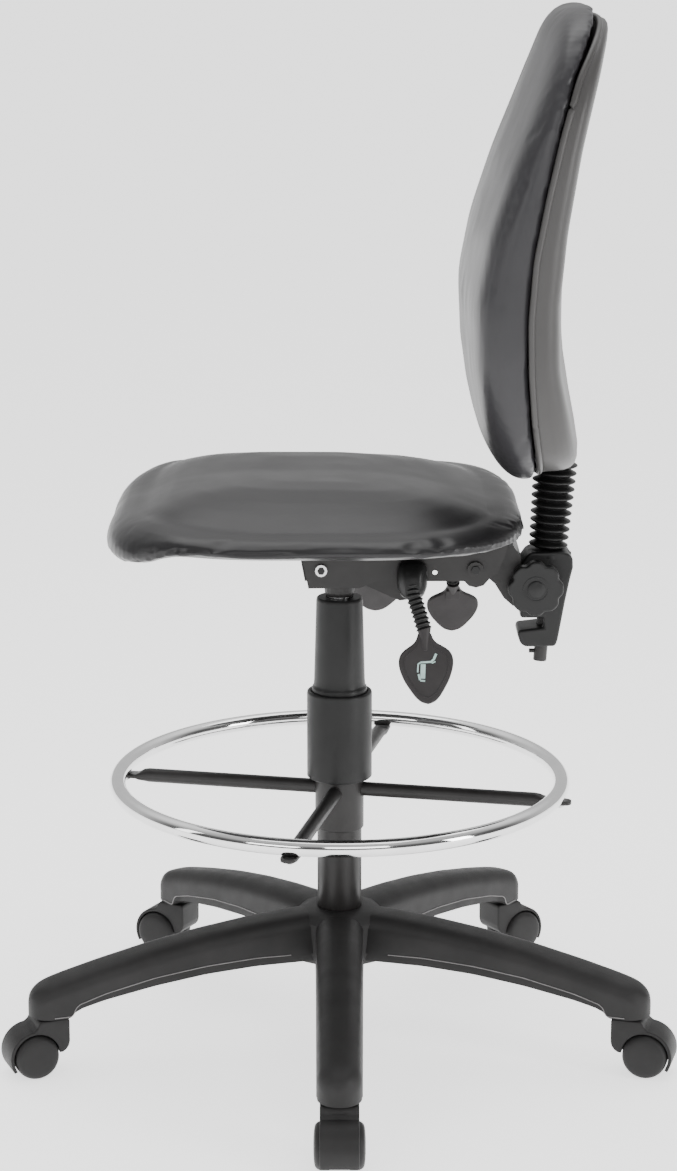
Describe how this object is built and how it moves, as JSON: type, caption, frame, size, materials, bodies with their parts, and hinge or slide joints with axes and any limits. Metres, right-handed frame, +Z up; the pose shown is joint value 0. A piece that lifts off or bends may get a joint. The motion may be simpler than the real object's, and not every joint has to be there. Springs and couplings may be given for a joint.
{
  "type": "drafting chair",
  "caption": "Armless drafting chair with curved upholstered seat and back, chrome foot ring, five-arm caster base, height column, bellows back post and paddle levers.",
  "frame": {"origin": "centre of the whole chair in plan, on the floor", "axes": "+Z up, the chair faces -Y, the sitter's left is +X"},
  "size_m": [0.7095, 0.7544, 1.163],
  "materials": {
    "nylon": "matte textured black nylon",
    "hub_plastic": "satin black plastic",
    "black_steel": "black painted steel",
    "chrome": "polished chrome",
    "bright_steel": "bright ground steel",
    "vinyl": "smooth semi-gloss black leather-like upholstery",
    "black_rubber": "black rubber",
    "plywood": "plain plywood"
  },
  "bodies": {
    "base": {"star_base": "nylon", "column_tube": "black_steel", "guide_bush": "hub_plastic", "piston_rod": "bright_steel", "thrust_bearing": "black_steel", "rod_clip": "black_steel", "column_cover": "hub_plastic", "caster_stem_1": "black_steel", "caster_stem_2": "black_steel", "caster_stem_3": "black_steel", "caster_stem_4": "black_steel", "caster_stem_5": "black_steel"},
    "foot_rest": {"foot_ring": "chrome", "foot_ring_frame": "black_steel"},
    "ring_lock": {"locking_collar": "hub_plastic"},
    "lift": {"gas_cylinder": "bright_steel"},
    "valve": {"valve_pin": "bright_steel"},
    "chassis": {"mechanism_housing": "black_steel"},
    "seat": {"seat_plate": "black_steel", "tilt_pivot_pin": "bright_steel", "back_pivot_pin": "black_steel", "seat_pan": "hub_plastic", "seat_cushion": "vinyl", "back_return_spring": "black_steel"},
    "back_arm": {"back_arm": "black_steel", "bracket_housing": "hub_plastic"},
    "back": {"back_upright": "black_steel", "upright_stop_pin": "black_steel", "bellows": "black_rubber", "back_board": "plywood", "back_cushion": "vinyl", "back_shell": "vinyl"},
    "clamp_knob": {"adjust_knob": "hub_plastic", "knob_screw": "bright_steel"},
    "back_angle_lever": {"back_angle_lever_rod": "black_rubber", "back_angle_lever_paddle": "hub_plastic"},
    "height_lever": {"height_lever_rod": "black_rubber", "height_lever_paddle": "hub_plastic"},
    "tilt_lever": {"tilt_lever_rod": "black_rubber", "tilt_lever_paddle": "hub_plastic"},
    "caster_swivel_1": {"caster_hood_1": "nylon", "caster_axle_1": "black_steel"},
    "wheel_left_1": {"caster_wheel_left_1": "nylon"},
    "wheel_right_1": {"caster_wheel_right_1": "nylon"},
    "caster_swivel_2": {"caster_hood_2": "nylon", "caster_axle_2": "black_steel"},
    "wheel_left_2": {"caster_wheel_left_2": "nylon"},
    "wheel_right_2": {"caster_wheel_right_2": "nylon"},
    "caster_swivel_3": {"caster_hood_3": "nylon", "caster_axle_3": "black_steel"},
    "wheel_left_3": {"caster_wheel_left_3": "nylon"},
    "wheel_right_3": {"caster_wheel_right_3": "nylon"},
    "caster_swivel_4": {"caster_hood_4": "nylon", "caster_axle_4": "black_steel"},
    "wheel_left_4": {"caster_wheel_left_4": "nylon"},
    "wheel_right_4": {"caster_wheel_right_4": "nylon"},
    "caster_swivel_5": {"caster_hood_5": "nylon", "caster_axle_5": "black_steel"},
    "wheel_left_5": {"caster_wheel_left_5": "nylon"},
    "wheel_right_5": {"caster_wheel_right_5": "nylon"}
  },
  "joints": [
    {"name": "caster_swivel_1_turn", "type": "hinge", "parent": "base", "child": "caster_swivel_1", "pos_m": [0.305, 0, 0.06], "axis": [0, 0, 1], "continuous": true},
    {"name": "wheel_left_1_roll", "type": "hinge", "parent": "caster_swivel_1", "child": "wheel_left_1", "pos_m": [0.327, 0, 0.025], "axis": [0, 1, 0], "continuous": true},
    {"name": "wheel_right_1_roll", "type": "hinge", "parent": "caster_swivel_1", "child": "wheel_right_1", "pos_m": [0.327, 0, 0.025], "axis": [0, 1, 0], "continuous": true},
    {"name": "caster_swivel_2_turn", "type": "hinge", "parent": "base", "child": "caster_swivel_2", "pos_m": [0.07145, 0.32146, 0.06], "axis": [0, 0, 1], "continuous": true},
    {"name": "wheel_left_2_roll", "type": "hinge", "parent": "caster_swivel_2", "child": "wheel_left_2", "pos_m": [0.07751, 0.3426, 0.025], "axis": [-0.9613, 0.2756, 0], "continuous": true},
    {"name": "wheel_right_2_roll", "type": "hinge", "parent": "caster_swivel_2", "child": "wheel_right_2", "pos_m": [0.07751, 0.3426, 0.025], "axis": [-0.9613, 0.2756, 0], "continuous": true},
    {"name": "caster_swivel_3_turn", "type": "hinge", "parent": "base", "child": "caster_swivel_3", "pos_m": [-0.30645, 0.19867, 0.06], "axis": [0, 0, 1], "continuous": true},
    {"name": "wheel_left_3_roll", "type": "hinge", "parent": "caster_swivel_3", "child": "wheel_left_3", "pos_m": [-0.31875, 0.21691, 0.025], "axis": [-0.829, -0.5592, 0], "continuous": true},
    {"name": "wheel_right_3_roll", "type": "hinge", "parent": "caster_swivel_3", "child": "wheel_right_3", "pos_m": [-0.31875, 0.21691, 0.025], "axis": [-0.829, -0.5592, 0], "continuous": true},
    {"name": "caster_swivel_4_turn", "type": "hinge", "parent": "base", "child": "caster_swivel_4", "pos_m": [-0.30645, -0.19867, 0.06], "axis": [0, 0, 1], "continuous": true},
    {"name": "wheel_left_4_roll", "type": "hinge", "parent": "caster_swivel_4", "child": "wheel_left_4", "pos_m": [-0.31678, -0.2181, 0.025], "axis": [0.8829, -0.4695, 0], "continuous": true},
    {"name": "wheel_right_4_roll", "type": "hinge", "parent": "caster_swivel_4", "child": "wheel_right_4", "pos_m": [-0.31678, -0.2181, 0.025], "axis": [0.8829, -0.4695, 0], "continuous": true},
    {"name": "caster_swivel_5_turn", "type": "hinge", "parent": "base", "child": "caster_swivel_5", "pos_m": [0.07145, -0.32146, 0.06], "axis": [0, 0, 1], "continuous": true},
    {"name": "wheel_left_5_roll", "type": "hinge", "parent": "caster_swivel_5", "child": "wheel_left_5", "pos_m": [0.08004, -0.34171, 0.025], "axis": [0.9205, 0.3907, 0], "continuous": true},
    {"name": "wheel_right_5_roll", "type": "hinge", "parent": "caster_swivel_5", "child": "wheel_right_5", "pos_m": [0.08004, -0.34171, 0.025], "axis": [0.9205, 0.3907, 0], "continuous": true},
    {"name": "foot_ring_height", "type": "slide", "parent": "base", "child": "foot_rest", "axis": [0, 0, 1], "range_m": [-0.08, 0]},
    {"name": "ring_lock_turn", "type": "hinge", "parent": "foot_rest", "child": "ring_lock", "pos_m": [-0.033, 0, 0.36], "axis": [0, 0, 1], "range_deg": [0, 90]},
    {"name": "seat_height", "type": "slide", "parent": "base", "child": "lift", "axis": [0, 0, 1], "range_m": [0, 0.12]},
    {"name": "valve_press", "type": "slide", "parent": "lift", "child": "valve", "axis": [0, 0, 1], "range_m": [-0.0002, 0.0045]},
    {"name": "chassis_swivel", "type": "hinge", "parent": "lift", "child": "chassis", "pos_m": [-0.033, 0, 0.54], "axis": [0, 0, 1], "continuous": true},
    {"name": "seat_tilt", "type": "hinge", "parent": "chassis", "child": "seat", "pos_m": [-0.033, -0.02, 0.56], "axis": [1, 0, 0], "range_deg": [-3, 6]},
    {"name": "back_recline", "type": "hinge", "parent": "seat", "child": "back_arm", "pos_m": [-0.033, 0.148, 0.561], "axis": [-1, 0, 0], "range_deg": [-3, 20]},
    {"name": "back_height", "type": "slide", "parent": "back_arm", "child": "back", "axis": [0, 0.0698, 0.9976], "range_m": [-0.025, 0.007], "deforming": ["bellows"]},
    {"name": "clamp_knob_turn", "type": "hinge", "parent": "back_arm", "child": "clamp_knob", "pos_m": [0.027, 0.214, 0.54], "axis": [1, 0, 0], "range_deg": [0, 360]},
    {"name": "back_angle_lever_swing", "type": "hinge", "parent": "seat", "child": "back_angle_lever", "pos_m": [0.022, 0.079, 0.556], "axis": [1, 0, 0], "range_deg": [0, 15]},
    {"name": "height_lever_swing", "type": "hinge", "parent": "seat", "child": "height_lever", "pos_m": [-0.088, 0.042, 0.556], "axis": [1, 0, 0], "range_deg": [0, 15]},
    {"name": "tilt_lever_swing", "type": "hinge", "parent": "seat", "child": "tilt_lever", "pos_m": [-0.088, 0.122, 0.564], "axis": [1, 0, 0], "range_deg": [0, 15]}
  ],
  "couplings": [
    {"joint": "valve_press", "follows": "height_lever_swing", "m_per_rad": 0.015279}
  ]
}
